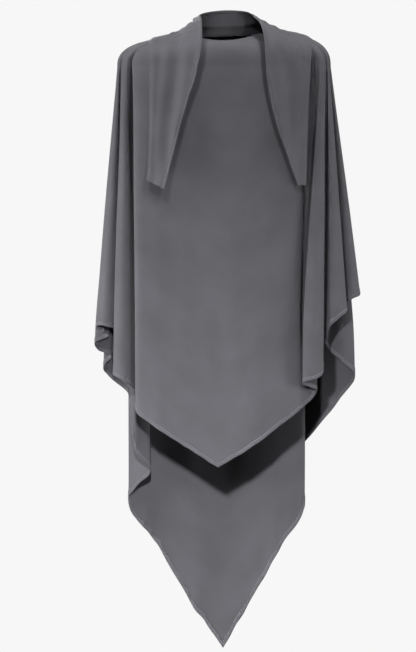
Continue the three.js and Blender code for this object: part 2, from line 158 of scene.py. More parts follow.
def distances(line):  # mm along a line of points, from its start
    return np.concatenate([[0], np.cumsum(np.linalg.norm(np.diff(line, axis=0), axis=1))])


def repeated(values, turnStep=0.0):  # a column of the fold tables, with the rows beyond each end
    values = np.array(values, float)
    return np.concatenate([values - turnStep, values, values + turnStep])


tablePlaces = np.arange(-rowCount, 2 * rowCount)
turnTable = repeated([row[1] for row in folds], 360)
hemTable = repeated([row[4] for row in folds])


def knotGap(a, b):
    return np.sqrt(np.linalg.norm(b - a, axis=2, keepdims=True))


def planCurve():  # the plan of the open folds: a centripetal curve with its turns rounded
    raw = np.array([(row[2] * form["fallWidth"] / 2, row[3] * form["fallDepth"] / 2) for row in folds])
    p0, p1, p2, p3 = (np.roll(raw, shift, axis=0)[:, None, :] for shift in (1, 0, -1, -2))
    d0, d1, d2 = knotGap(p0, p1), knotGap(p1, p2), knotGap(p2, p3)
    t1 = ((p1 - p0) / d0 - (p2 - p0) / (d0 + d1) + (p2 - p1) / d1) * d1
    t2 = ((p2 - p1) / d1 - (p3 - p1) / (d1 + d2) + (p3 - p2) / d2) * d1
    t = (np.arange(stepsPerRow) / stepsPerRow)[None, :, None]
    curve = p1 + t1 * t + (3 * (p2 - p1) - 2 * t1 - t2) * t**2 + (2 * (p1 - p2) + t1 + t2) * t**3
    curve = curve.reshape(-1, 2)
    curve = np.vstack([curve, curve[:1]])
    lengths = distances(curve)
    rounded = np.zeros_like(curve)
    for share, weight in roundingWeights:
        along = (lengths + share * form["foldRounding"]) % lengths[-1]
        for axis in (0, 1):
            rounded[:, axis] += weight * np.interp(along, lengths, curve[:, axis])
    return np.arange(len(lengths)) / stepsPerRow, rounded, lengths


planPlaces, planXY, planLengths = planCurve()


def planAt(place):
    wrapped = np.mod(place, rowCount)
    return np.interp(wrapped, planPlaces, planXY[:, 0]), np.interp(wrapped, planPlaces, planXY[:, 1])


def planLengthAt(place):
    return np.interp(np.mod(place, rowCount), planPlaces, planLengths)


def planAngle(place):  # once round the open folds is a full turn
    return 2 * np.pi * planLengthAt(place) / planLengths[-1]


def turnAt(place):
    return np.interp(place, tablePlaces, turnTable)


def signedPower(value, power):
    return np.sign(value) * np.abs(value) ** power


def neckEdge(turn):
    forward, right = np.cos(np.radians(turn)), np.sin(np.radians(turn))
    ahead = forward > 0
    return points(
        form["neckOffset"] + form["neckWidth"] / 2 * right,
        -forward * np.where(ahead, form["neckFront"], form["neckBack"]),
        form["neckHeight"] - np.where(ahead, form["neckFrontDrop"] * forward**2, 0),
    )


def foldTop(turn):
    forward = signedPower(np.cos(np.radians(turn)), 2 / form["ovalPower"])
    right = signedPower(np.sin(np.radians(turn)), 2 / form["ovalPower"])
    return points(
        form["foldTopWidth"] / 2 * right,
        -forward * np.where(forward > 0, form["foldTopFront"], form["foldTopBack"]),
        -form["foldTopDrop"],
    )


def onShoulder(turn, level):  # level: 0 at the neck's edge, 1 where the folds begin
    angle = np.clip(level, 0, 1) * np.pi / 2
    out = np.where(level < 0, level, np.sin(angle) ** (2 / form["shoulderPower"]))
    down = 1 - np.cos(angle) ** (2 / form["shoulderPower"])
    neck, top = neckEdge(turn), foldTop(turn)
    x, y, z = (mix(neck[..., axis], top[..., axis], share) for axis, share in ((0, out), (1, out), (2, down)))
    return points(x, y, z + form["shoulderTilt"] * (1 - down) * x / (form["foldTopWidth"] / 2))


def eased(share):
    return (share + np.hypot(share, form["foldEase"])) / 2


def opened(height):  # 0 where the folds begin, 1 where they are open
    left = 1 + (height + form["foldTopDrop"]) / (form["fullFoldDrop"] - form["foldTopDrop"])
    return np.maximum(0, eased(1) - eased(left))


def onFall(place, height):
    top, share = foldTop(turnAt(place)), opened(height)
    x, y = planAt(place)
    return points(mix(top[..., 0], x, share), mix(top[..., 1], y, share ** form["foldsDeepen"]), height)


def hemHeight(place):
    leftSide = (place < frontPoint) | (place > backPoint)
    point = np.where((place <= seamRight) & (place >= 0), form["frontLength"], form["backLength"])
    side = np.where(leftSide, form["leftSideLength"], form["rightSideLength"])
    return -mix(side, point, np.interp(place, tablePlaces, hemTable))


def hemSlant(place, step=0.04, most=2.2):  # the hem's length for each mm of its plan
    place = np.asarray(place, float)
    overPoint = sum((place < point) & (place + step > point) for point in (frontPoint, backPoint)) > 0
    step = np.where(overPoint, -step, step)  # so that no step runs from one side of a point to the other
    a, b = onFall(place, hemHeight(place)), onFall(place + step, hemHeight(place + step))
    run = np.hypot(b[..., 0] - a[..., 0], b[..., 1] - a[..., 1])
    return np.minimum(most, np.hypot(run, b[..., 2] - a[..., 2]) / run)


# The cloth's small waves

wavy = {
    "fallOff": 0.7,                 # how much smaller the narrower waves are
    "sizes": (0.6, 1), "phases": (0, 6.28),
    "leanOver": 130,                # mm down, over which a wave drifts by its lean
    "swellOver": (150, 420),        # mm down, over which a wave swells and fades
    "swell": 0.4,
}
drape = {
    "softWaves": 1.5,               # mm, the broad soft waves of the fall
    "softCounts": (9, 46, 12),      # fewest and most of them round the cloth, and how many kinds
    "softStart": (20, 150),         # mm down from the neck, where they begin and where they are full
    "neckGathers": 0.9,             # mm, the small gathers round the neck
    "gatherCounts": (26, 48, 9), "gatherDrift": 0.5,
    "gatherReach": 42,              # mm
    "gathersInFront": 0.25,         # the share of them in front and behind, where the cloth lies smooth
    "hemFlutter": 0.9,              # mm, at the front's hem
    "tailFlutter": 2.0,             # mm, at the tail's
    "flutterCounts": (24, 70, 9), "flutterDrift": 0.6,
    "flutterReach": 55,             # mm above the hem
    "flutterStart": (200, 400),     # mm down from the neck
    "hemWander": 0.7,               # mm, how far the edge of the front's hem wanders up and down
    "tailWander": 2.4,              # mm, the same of the tail's
    "wanderCounts": (30, 90, 8),
    "slotDepth": 13,                # mm, how much the valleys between the folds are drawn in
    "slotStart": (110, 210),        # mm down from the neck, where that begins and where it is full
    "slotEnd": (1000, 640),         # mm down, where it has faded and where it is still full
    "seed": 7,
}
# place in the fold table, share of slotDepth, width in rows of the table
slots = [
    (4.5, 1.2, 0.6), (9.5, 1.8, 0.55), (17.5, 2.1, 0.42), (18.5, 1.0, 0.6), (23.5, 1.3, 0.6), (28, 0.9, 0.7),
    (32.5, 0.9, 0.75), (51, 0.6, 0.75), (55, 0.8, 0.75),
]

# x on the shoulder, its drift in x for each mm down, first and last height, width, depth (mm)
shoulderPleats = [
    (148, 0.10, 4, -48, 3.2, 1.6),
    (160, 0.12, 2, -56, 3.4, 2.0),
    (173, 0.10, -4, -60, 3.4, 1.8),
    (187, 0.08, -10, -66, 3.6, 1.7),
    (-96, -0.30, 12, -34, 3.6, 1.4),
    (-108, -0.22, 10, -40, 3.4, 1.0),
    (100, 0.34, 12, -30, 3.4, 1.3),
    (114, 0.26, 8, -42, 3.6, 1.1),
]
pleatEnds = {  # mm
    "back": 8,              # y, behind which there are none
    "top": (8, -6),         # from the first height, where a pleat begins and where it is full
    "bottom": (-12, 18),    # from the last height, where it has faded and where it is still full
}


def waves(angle, down, counts, seed, drift=1.0):  # round the cloth, slowly drifting on the way down
    fewest, most, kinds = counts
    dice = np.random.default_rng(seed)
    total = np.zeros(np.broadcast(angle, down).shape)
    for count in np.linspace(fewest, most, kinds).round():
        size = (fewest / count) ** wavy["fallOff"] * dice.uniform(*wavy["sizes"])
        phase = dice.uniform(*wavy["phases"])
        lean = dice.normal(0, drift)
        length = dice.uniform(*wavy["swellOver"])
        wave = np.cos(count * angle + phase + lean * down / wavy["leanOver"])
        total += size * wave * (1 + wavy["swell"] * np.sin(down / length + 3 * phase))
    return total / math.sqrt(kinds / 2)


def onTail(place):  # 1 along the tail's two edges, 0 elsewhere
    return smooth(tailFrom - 1, tailFrom + 1, place) * smooth(tailTo + 1, tailTo - 1, place)


def pleated(at):  # mm, how deep the small pleats on the shoulders are
    deep = np.zeros(at.shape[:-1])
    for x, lean, top, bottom, width, depth in shoulderPleats:
        line = (at[..., 0] - x - lean * (top - at[..., 2])) / width
        fade = smooth(*(top + step for step in pleatEnds["top"]), at[..., 2])
        fade = fade * smooth(*(bottom + step for step in pleatEnds["bottom"]), at[..., 2])
        deep += np.where(at[..., 1] < pleatEnds["back"], depth * np.exp(-line**2) * fade, 0)
    return deep


def relief(place, down, height, at):  # mm off the plain surface
    angle, turn = planAngle(place), np.radians(turnAt(place))
    seed = drape["seed"]
    soft = waves(angle, down, drape["softCounts"], seed)
    off = drape["softWaves"] * smooth(*drape["softStart"], down) * soft
    gathers = waves(turn, down, drape["gatherCounts"], seed + 1, drape["gatherDrift"])
    gathers *= np.exp(-down / drape["gatherReach"])
    off += drape["neckGathers"] * gathers * mix(drape["gathersInFront"], 1, np.abs(np.sin(turn)) ** 3)
    flutter = waves(angle, down, drape["flutterCounts"], seed + 2, drape["flutterDrift"])
    flutter *= np.exp(-np.maximum(0, height - hemHeight(place)) / drape["flutterReach"])
    size = mix(drape["hemFlutter"], drape["tailFlutter"], onTail(place))
    off += size * flutter * smooth(*drape["flutterStart"], down)
    drawnIn = smooth(*drape["slotStart"], down) * smooth(*drape["slotEnd"], down) * drape["slotDepth"]
    for middle, share, width in slots:
        off -= drawnIn * share * np.exp(-((place - middle) / width) ** 2)
    return off - pleated(at)


def wander(place):  # mm, how far the hem is from its plain line
    angle = planAngle(place)
    size = mix(drape["hemWander"], drape["tailWander"], onTail(place))
    return size * waves(angle, np.zeros_like(angle), drape["wanderCounts"], drape["seed"] + 3)


# Meshes

sharpAngle = 55  # degrees, past which an edge is shaded sharp


def normalsOf(grid):  # grid[column, row], left to right and top to bottom as seen from outside
    across, down = np.gradient(grid, axis=0), np.gradient(grid, axis=1)
    normal = np.cross(down, across)
    return normal / np.maximum(1e-9, np.linalg.norm(normal, axis=2, keepdims=True))


def newObject(name, data):
    piece = bpy.data.objects.new(name, data)
    bpy.context.scene.collection.objects.link(piece)
    return piece


def clothMesh(name, grid, normals, thickness, uv, material):  # a closed sheet with the grid in its middle
    count, rows = grid.shape[:2]
    half = (np.broadcast_to(thickness, (count, rows)) / 2)[..., None]
    outside, inside = grid + normals * half, grid - normals * half
    verts = np.concatenate([outside.reshape(-1, 3), inside.reshape(-1, 3)]) / 1000
    outer = np.arange(count * rows).reshape(count, rows)
    inner = outer + count * rows
    faces = np.concatenate([
        np.stack([outer[:-1, :-1], outer[:-1, 1:], outer[1:, 1:], outer[1:, :-1]], -1).reshape(-1, 4),
        np.stack([inner[:-1, :-1], inner[1:, :-1], inner[1:, 1:], inner[:-1, 1:]], -1).reshape(-1, 4),
        np.stack([outer[:-1, 0], outer[1:, 0], inner[1:, 0], inner[:-1, 0]], -1),
        np.stack([outer[:-1, -1], inner[:-1, -1], inner[1:, -1], outer[1:, -1]], -1),
        np.stack([outer[0, :-1], inner[0, :-1], inner[0, 1:], outer[0, 1:]], -1),
        np.stack([outer[-1, :-1], outer[-1, 1:], inner[-1, 1:], inner[-1, :-1]], -1),
    ])
    mesh = bpy.data.meshes.new(name)
    mesh.from_pydata(verts.tolist(), [], faces.tolist())
    flat = np.tile(uv.reshape(-1, 2), (2, 1)) / 1000
    loops = np.empty(len(mesh.loops), np.int32)
    mesh.loops.foreach_get("vertex_index", loops)
    mesh.uv_layers.new(name="cloth").data.foreach_set("uv", flat[loops].ravel())
    mesh.polygons.foreach_set("use_smooth", [True] * len(mesh.polygons))
    mesh.set_sharp_from_angle(angle=math.radians(sharpAngle))
    mesh.materials.append(material)
    mesh.update()
    return newObject(name, mesh)


# Materials

def linear(hexColour):
    parts = [int(hexColour[k:k + 2], 16) / 255 for k in (1, 3, 5)]
    return [c / 12.92 if c <= 0.04045 else ((c + 0.055) / 1.055) ** 2.4 for c in parts] + [1.0]


def addNode(tree, kind, settings=None, links=None):  # sockets go by name or by number
    node = tree.nodes.new(kind)
    for key, value in (settings or {}).items():
        if isinstance(key, str) and hasattr(node, key):
            setattr(node, key, value)
        else:
            node.inputs[key].default_value = value
    for key, source in (links or {}).items():
        tree.links.new(source, node.inputs[key])
    return node


def waveScale(period):  # a Wave Texture's scale, from the distance between its bands in mm
    return 2 * math.pi * 1000 / period / 20


crepe = {
    "dark": "#4a494d", "light": "#535257",
    "toneFrom": 0.45, "toneTo": 0.9,    # where in the noise the two colours lie
    "thread": 1.6,          # mm. The real threads lie about 0.4 mm apart, too fine to show
    "uneven": 0.6,          # how much the threads waver
    "grain": 2.4,           # mm, the pebbled face that the twisted threads give
    "crinkle": 22,          # mm, the slight unevenness of cloth that hangs
    "shade": 90,            # mm, of the slow change of tone
    "fleck": 0.35,          # how much the grain shows in the tone
    "crinkleDepth": 0.5, "grainDepth": 0.10, "weaveDepth": 0.05,
    "crinkleHeight": 0.6, "grainHeight": 0.6, "weaveHeight": 0.4,  # mm
    "smoothest": 0.67, "roughest": 0.79,
    "ior": 1.5, "shine": 0.22, "sheen": 0.10, "sheenRoughness": 0.45,
}
# the crepe made lighter for the rolled hems: a painted highlight, the light that catches their roll
highlightedHemCrepe = {**crepe, "dark": "#504f54", "light": "#5b5a5f"}
# the crepe made a little darker for the collar's rolled edge: painted shade, the shadow along the band's top
# and the ties' inner edges
shadedEdgeCrepe = {**crepe, "dark": "#49484c", "light": "#525156"}


# Twisted polyester threads, plainly woven: a matt face that brightens softly at the edges
def crepeMaterial(name, look):
    material = bpy.data.materials.new(name)
    material.use_nodes = True
    tree = material.node_tree
    tree.nodes.clear()
    place = addNode(tree, "ShaderNodeUVMap", {"uv_map": "cloth"}).outputs[0]
    noise = {}
    for part, detail in (("shade", 3), ("grain", 2), ("crinkle", 2)):
        settings = {"Scale": 1000 / look[part], "Detail": detail, "Roughness": 0.5}
        noise[part] = addNode(tree, "ShaderNodeTexNoise", settings, {"Vector": place}).outputs[0]
    tone = addNode(tree, "ShaderNodeMath", {"operation": "MULTIPLY_ADD", 1: look["fleck"]},
                   {0: noise["grain"], 2: noise["shade"]}).outputs[0]
    ramp = addNode(tree, "ShaderNodeValToRGB", {}, {"Fac": tone})
    dark, light = ramp.color_ramp.elements
    dark.position, light.position = look["toneFrom"], look["toneTo"]
    dark.color, light.color = linear(look["dark"]), linear(look["light"])
    threads = []
    for direction in ("X", "Y"):
        settings = {
            "wave_type": "BANDS", "bands_direction": direction, "Scale": waveScale(look["thread"]),
            "Distortion": look["uneven"], "Detail": 1.0,
        }
        threads.append(addNode(tree, "ShaderNodeTexWave", settings, {"Vector": place}).outputs[1])
    weave = addNode(tree, "ShaderNodeMath", {"operation": "MULTIPLY"},
                    {0: threads[0], 1: threads[1]}).outputs[0]
    normal = {}
    for part, height in (("crinkle", noise["crinkle"]), ("grain", noise["grain"]), ("weave", weave)):
        settings = {"Strength": look[part + "Depth"], "Distance": look[part + "Height"] / 1000}
        bump = addNode(tree, "ShaderNodeBump", settings, {"Height": height, **normal})
        normal = {"Normal": bump.outputs[0]}
    rough = addNode(tree, "ShaderNodeMapRange", {"To Min": look["smoothest"], "To Max": look["roughest"]},
                    {"Value": noise["grain"]})
    shader = addNode(tree, "ShaderNodeBsdfPrincipled", {
        "IOR": look["ior"], "Specular IOR Level": look["shine"],
        "Sheen Weight": look["sheen"], "Sheen Roughness": look["sheenRoughness"],
    }, {"Base Color": ramp.outputs[0], "Roughness": rough.outputs[0], **normal})
    addNode(tree, "ShaderNodeOutputMaterial", {}, {"Surface": shader.outputs[0]})
    return material


sewingThread = {
    "dark": "#5f5e66", "light": "#74737c",
    "plyScale": 400,        # of the Wave Texture that draws the thread's twist
    "uneven": 1.0, "roughness": 0.55,
}


# Spun polyester sewing thread: a little lighter and smoother than the crepe
def threadMaterial(name, look):
    material = bpy.data.materials.new(name)
    material.use_nodes = True
    tree = material.node_tree
    shader = tree.nodes["Principled BSDF"]
    shader.inputs["Roughness"].default_value = look["roughness"]
    place = addNode(tree, "ShaderNodeTexCoord").outputs["Object"]
    settings = {"bands_direction": "DIAGONAL", "Scale": look["plyScale"], "Distortion": look["uneven"]}
    ply = addNode(tree, "ShaderNodeTexWave", settings, {"Vector": place})
    ramp = addNode(tree, "ShaderNodeValToRGB", {}, {"Fac": ply.outputs[1]})
    dark, light = ramp.color_ramp.elements
    dark.color, light.color = linear(look["dark"]), linear(look["light"])
    tree.links.new(ramp.outputs[0], shader.inputs["Base Color"])
    return material


clothMaterial = crepeMaterial("greyPolyesterCrepe", crepe)
# the hems' lighter crepe is a painted highlight
highlightedHemMaterial = crepeMaterial("greyPolyesterCrepeHemHighlight", highlightedHemCrepe)
# the collar edge's darker crepe is painted shade
shadedEdgeMaterial = crepeMaterial("greyPolyesterCrepeEdgeShade", shadedEdgeCrepe)
stitchMaterial = threadMaterial("greySewingThread", sewingThread)
print("stage: materials made")

# Stitches

stitching = {"pitch": 4.0, "length": 3.0, "thread": 0.7, "lift": 0.15, "turn": 5, "seed": 3}  # mm, degrees


def stitchTree():  # short threads along a line, each lying along it and on the cloth
    tree = bpy.data.node_groups.new("stitchRow", "GeometryNodeTree")
    face = tree.interface
    face.new_socket("Line", in_out="INPUT", socket_type="NodeSocketGeometry")
    for name in ("Pitch", "Length", "Thread", "Lift", "Turn"):
        face.new_socket(name, in_out="INPUT", socket_type="NodeSocketFloat")
    face.new_socket("Seed", in_out="INPUT", socket_type="NodeSocketInt")
    face.new_socket("Thread Material", in_out="INPUT", socket_type="NodeSocketMaterial")
    face.new_socket("Stitches", in_out="OUTPUT", socket_type="NodeSocketGeometry")
    given = addNode(tree, "NodeGroupInput").outputs
    line = addNode(tree, "GeometryNodeMeshToCurve", {}, {"Mesh": given["Line"]})
    steps = addNode(tree, "GeometryNodeResampleCurve", {"mode": "LENGTH"},
                    {"Curve": line.outputs[0], "Length": given["Pitch"]})
    off = addNode(tree, "GeometryNodeInputNamedAttribute", {"data_type": "FLOAT_VECTOR", "Name": "off"})
    raised = addNode(tree, "ShaderNodeVectorMath", {"operation": "SCALE"},
                     {0: off.outputs[0], "Scale": given["Lift"]})
    row = addNode(tree, "GeometryNodeSetPosition", {},
                  {"Geometry": steps.outputs[0], "Offset": raised.outputs[0]})
    tangent = addNode(tree, "GeometryNodeInputTangent")
    along = addNode(tree, "FunctionNodeAlignRotationToVector", {"axis": "X"}, {"Vector": tangent.outputs[0]})
    upright = addNode(tree, "FunctionNodeAlignRotationToVector", {"axis": "Z", "pivot_axis": "X"},
                      {"Rotation": along.outputs[0], "Vector": off.outputs[0]})
    least = addNode(tree, "ShaderNodeMath", {"operation": "MULTIPLY", 1: -1.0}, {0: given["Turn"]})
    angle = addNode(tree, "FunctionNodeRandomValue", {"data_type": "FLOAT"},
                    {2: least.outputs[0], 3: given["Turn"], "Seed": given["Seed"]})
    swing = addNode(tree, "FunctionNodeAxisAngleToRotation", {"Axis": (0, 0, 1)}, {"Angle": angle.outputs[1]})
    turned = addNode(tree, "FunctionNodeRotateRotation", {"rotation_space": "LOCAL"},
                     {"Rotation": upright.outputs[0], "Rotate By": swing.outputs[0]})
    bead = addNode(tree, "GeometryNodeMeshUVSphere", {"Segments": 6, "Rings": 4, "Radius": 0.5})
    size = addNode(tree, "ShaderNodeCombineXYZ", {},
                   {"X": given["Length"], "Y": given["Thread"], "Z": given["Thread"]})
    stitch = addNode(tree, "GeometryNodeTransform", {},
                     {"Geometry": bead.outputs[0], "Scale": size.outputs[0]})
    laid = addNode(tree, "GeometryNodeInstanceOnPoints", {}, {
        "Points": row.outputs[0], "Instance": stitch.outputs[0], "Rotation": turned.outputs[0]})
    real = addNode(tree, "GeometryNodeRealizeInstances", {}, {"Geometry": laid.outputs[0]})
    done = addNode(tree, "GeometryNodeSetMaterial", {},
                   {"Geometry": real.outputs[0], "Material": given["Thread Material"]})
    addNode(tree, "NodeGroupOutput", {}, {"Stitches": done.outputs[0]})
    return tree


stitchRow = stitchTree()


def stitchesAlong(path, off, seed):  # path: points in mm. off: the way off the cloth at each
    guide = bpy.data.meshes.new("stitchLine")
    guide.from_pydata((path / 1000).tolist(), [(i, i + 1) for i in range(len(path) - 1)], [])
    guide.attributes.new("off", "FLOAT_VECTOR", "POINT").data.foreach_set("vector", off.ravel())
    row = newObject("stitchLine", guide)
    modifier = row.modifiers.new("stitches", "NODES")
    modifier.node_group = stitchRow
    given = {name.capitalize(): stitching[name] / 1000 for name in ("pitch", "length", "thread", "lift")}
    given |= {"Turn": math.radians(stitching["turn"]), "Seed": seed, "Thread Material": stitchMaterial}
    for item in stitchRow.interface.items_tree:
        if item.in_out == "INPUT" and item.name in given:
            modifier[item.identifier] = given[item.name]
    shaped = row.evaluated_get(bpy.context.evaluated_depsgraph_get())
    stitches = bpy.data.meshes.new_from_object(shaped)
    stitches.polygons.foreach_set("material_index", [1] * len(stitches.polygons))  # the hem's second
    stitches.polygons.foreach_set("use_smooth", [True] * len(stitches.polygons))
    bpy.data.objects.remove(row)
    return stitches


def sewn(hem, line, off, lift):  # joins a row of stitches to each face of a hem
    whole = bmesh.new()
    whole.from_mesh(hem.data)
    for k, side in enumerate((1, -1)):
        whole.from_mesh(stitchesAlong(line + side * off * lift, side * off, stitching["seed"] + k))
    whole.to_mesh(hem.data)
    whole.free()
    hem.data.materials.append(stitchMaterial)
    return hem


# The two panels and their hems

panels = {
    "thickness": 1.0,       # mm. Real crepe is about 0.5
    "columns": 310, "shoulderRows": 36, "fallRows": 108,
    "flatStep": 30,         # mm of flat cloth that take as many columns as bendStep
    "bendStep": 30,         # degrees of a bend
    "shoulderRun": 190,     # mm, about, from the neck's edge to where the folds begin
    "underHem": (0.12, 0.3),    # the panel's last row and its guide, as shares of the hem's width
    "guide": 0.02,          # rows of the fold table beyond each end, for the end columns' normals
}
hems = {  # mm, and shares and counts
    "width": 9, "thickness": 2.8,
    "edge": 0.3, "roundness": 3.2,  # the share of the thickness left at its edges, and how full it is
    "step": 2.6, "across": 8,
    "stitchIn": 1.4,        # from the hem's top to its row of stitches
    "fineSteps": 4000,      # of the line on which the hem's columns are placed
    "guideFall": 0.97,      # how far down the fall a guide row lies, for the top row's normals
}


def withGuides(places):
    return np.concatenate([[places[0] - panels["guide"]], places, [places[-1] + panels["guide"]]])


def swelling(across, edge, roundness):  # a rolled hem's thickness over its width, as a share
    return mix(edge, 1, (1 - np.abs(2 * across - 1) ** roundness) ** 0.5)


def columnPlaces(first, last, count):
    fine = np.linspace(first, last, stepsPerRow * (last - first) + 1)
    x, y = planAt(fine)
    length = np.hypot(np.diff(x), np.diff(y))
    way = np.unwrap(np.arctan2(np.diff(y), np.diff(x)))
    bend = np.degrees(np.abs(np.diff(way, prepend=way[0])))
    total = np.concatenate([[0], np.cumsum(length / panels["flatStep"] + bend / panels["bendStep"])])
    return np.interp(np.linspace(0, total[-1], count + 1), total, fine)


def panelSurface(places, levels, falls, hemRows):
    places = places[:, None]
    bottom = hemHeight(places) + wander(places)
    hemTop = bottom + hems["width"] * hemSlant(places)
    drop = -form["foldTopDrop"]
    shoulderPart = onShoulder(turnAt(places), levels[None, :])
    shoulderDown = panels["shoulderRun"] * levels[None, :] + 0 * places
    heights = [mix(drop, hemTop, falls[None, :]), mix(hemTop, bottom, hemRows[None, :])]
    grid = np.concatenate([shoulderPart] + [onFall(places, height) for height in heights], axis=1)
    fallDown = [panels["shoulderRun"] + drop - height for height in heights]
    down = np.concatenate([shoulderDown] + fallDown, axis=1)
    grid = grid + normalsOf(grid) * relief(places, down, grid[..., 2], grid)[..., None]
    steps = np.linalg.norm(np.diff(grid, axis=1), axis=2)
    lengths = np.concatenate([np.zeros((len(places), 1)), np.cumsum(steps, axis=1)], axis=1)
    uv = points(planLengthAt(places) + 0 * lengths, lengths)
    return grid, normalsOf(grid), uv


def makePanel(name, first, point, last):
    places = columnPlaces(first, last, panels["columns"])
    places[np.argmin(np.abs(places - point))] = point
    levels = np.linspace(0, 1, panels["shoulderRows"] + 1)
    falls = np.linspace(0, 1, panels["fallRows"] + 1)[1:]
    grid, normals, uv = panelSurface(withGuides(places), levels, falls, np.array(panels["underHem"]))
    keep = (slice(1, -1), slice(0, -1))
    return clothMesh(name, grid[keep], normals[keep], panels["thickness"], uv[keep], clothMaterial)


def makeHem(name, first, point, last):
    fine = np.linspace(first, last, hems["fineSteps"])
    along = distances(onFall(fine, hemHeight(fine)))
    places = np.interp(np.linspace(0, along[-1], int(along[-1] / hems["step"]) + 1), along, fine)
    places[np.argmin(np.abs(places - point))] = point
    across = np.linspace(0, 1, hems["across"] + 1)
    guideFall = np.array([hems["guideFall"]])
    grid, normals, uv = panelSurface(withGuides(places), np.array([1.0]), guideFall, across)
    keep = (slice(1, -1), slice(2, None))
    grid, normals, uv = grid[keep], normals[keep], uv[keep]
    thickness = hems["thickness"] * swelling(across, hems["edge"], hems["roundness"])
    hem = clothMesh(name, grid, normals, thickness[None, :], uv, highlightedHemMaterial)
    share = hems["stitchIn"] / hems["width"]
    row = int(share * hems["across"])
    line = mix(grid[:, row], grid[:, row + 1], share * hems["across"] - row)
    return sewn(hem, line, normals[:, row], np.interp(share, across, thickness) / 2)


frontPanel = makePanel("front_panel_cloth", 0, frontPoint, seamRight)
frontHem = makeHem("front_hem_roll", 0, frontPoint, seamRight)
backPanel = makePanel("back_panel_cloth", seamRight, backPoint, rowCount)
backHem = makeHem("back_hem_roll", seamRight, backPoint, rowCount)
print("stage: panels and hems made")

# The collar: a band that runs into two ties

collar = {  # mm, and shares and counts
    "thickness": 2.2, "clearance": 0.6,     # double cloth, and the room under it
    "edgeThickness": 0.9, "edgeStandOff": 1.3,  # at the outer edge, which lies close on the shoulders
    "edgeShare": 0.14,      # of the width, over which the collar rises from there
    "edgeReach": 9,         # over which it thickens
    "hemWidth": 8, "hemThickness": 2.6, "hemEdge": 0.35, "hemRoundness": 3, "hemSteps": 8,
    "bandHeightBack": 57, "bandHeightSide": 44, "skirtBack": 0.2, "skirtPower": 0.6,
    "sideBlend": 0.35,      # how far back the band still lies as the ties do
    "rollFrom": 0.25, "rollPower": 2.1, "ridgeEase": 1.7,
    "liftOver": (1.05, 1.35),   # fall, over which a tie's outer edge comes off the cloth
    "tieLines": 64, "bandLines": 96, "across": 36,
    "endFrom": 0.9,         # share of the left tie, past which its free end curls and slants
    "endCurl": 0.22,        # how much more that end stands off, as a share of bandHeightSide
    "endSlant": 0.036,      # how much further down its inner corner is than its outer one, in fall
    "endPivot": 0.6,        # how far across it stays where it is, as a share
}
collarWaves = {  # mm, and counts as in drape
    "soft": 1.1, "softCounts": (4, 22, 9), "softSeed": 21, "softDrift": 2.0,
    "creases": 3.4,         # where the collar bends over the shoulders
    "creaseCounts": (45, 110, 9), "creaseSeed": 22, "creaseDrift": 9.0,
    "creaseLine": 4,        # lines down each tie, where they are deepest
    "creaseReach": 36, "creaseStart": (18, 60),
    "folds": 1.8, "foldWidth": 7.5, "sway": 1.4, "swayLength": 70,  # the broad folds down the ties
    "calmEdge": 30, "calmHem": 16,  # from each edge, over which all of them fade
}
standOff = (form["thickness"] + collar["thickness"]) / 2 + collar["clearance"]

# fall: 0 on the shoulder line, 1 where the folds begin, 2 where they are open
# fall, outer, inner, roll, lift
leftTieSections = np.array([
    (0, -0.77, -0.245, 1, 0.06),
    (0.25, -0.77, -0.235, 0.95, 0.05),
    (0.5, -0.77, -0.22, 0.82, 0.04),
    (0.75, -0.765, -0.22, 0.66, 0.03),
    (1, -0.76, -0.26, 0.48, 0.03),
    (1.12, -0.76, -0.35, 0.36, 0.05),
    (1.24, -0.76, -0.44, 0.3, 0.09),
    (1.36, -0.765, -0.52, 0.26, 0.17),
    (1.465, -0.77, -0.595, 0.24, 0.3),
])
rightTieSections = np.array([
    (0, 0.9, 0.28, 0.96, 0.06),
    (0.25, 0.9, 0.325, 0.95, 0.05),
    (0.5, 0.895, 0.37, 0.88, 0.04),
    (0.75, 0.89, 0.4, 0.74, 0.03),
    (1, 0.88, 0.415, 0.54, 0.03),
    (1.12, 0.86, 0.455, 0.38, 0.05),
    (1.24, 0.845, 0.53, 0.3, 0.07),
    (1.36, 0.83, 0.635, 0.24, 0.1),
    (1.46, 0.815, 0.72, 0.2, 0.16),
])


halvings = 40  # of the interval in which a place on the cloth is looked for


def solve(rising, target, low, high):  # halves an interval at each point until rising(value) is its target
    low, high = np.full(np.shape(target), float(low)), np.full(np.shape(target), float(high))
    for _ in range(halvings):
        middle = (low + high) / 2
        below = rising(middle) < target
        low, high = np.where(below, middle, low), np.where(below, high, middle)
    return (low + high) / 2


def ridgeLevel(x):  # the level at which the shoulder line lies that far out
    side = np.sign(x)
    return solve(lambda level: side * onShoulder(side * 90, level)[..., 0], np.abs(x), -1, 1)


def onFront(x, fall):
    height = mix(-form["foldTopDrop"], -form["fullFoldDrop"], np.maximum(0, fall - 1))
    place = solve(lambda value: onFall(value, height)[..., 0], x, leftEdge, rightEdge)
    level = mix(ridgeLevel(x), 1, np.minimum(fall, 1) ** collar["ridgeEase"])
    turn = solve(lambda value: onShoulder(value, level)[..., 0], x, -90, 90)
    return np.where((fall > 1)[..., None], onFall(place, height), onShoulder(turn, level))


def rolled(share):
    return np.maximum(0, (share - collar["rollFrom"]) / (1 - collar["rollFrom"])) ** collar["rollPower"]


def footHeight(share):  # mm over the cloth's middle; the outer edge lies close on it
    return mix(collar["edgeStandOff"], standOff, smooth(0, collar["edgeShare"], share))


def offCloth(across, down):
    way = np.cross(down, across)
    return way / np.linalg.norm(way, axis=-1, keepdims=True)


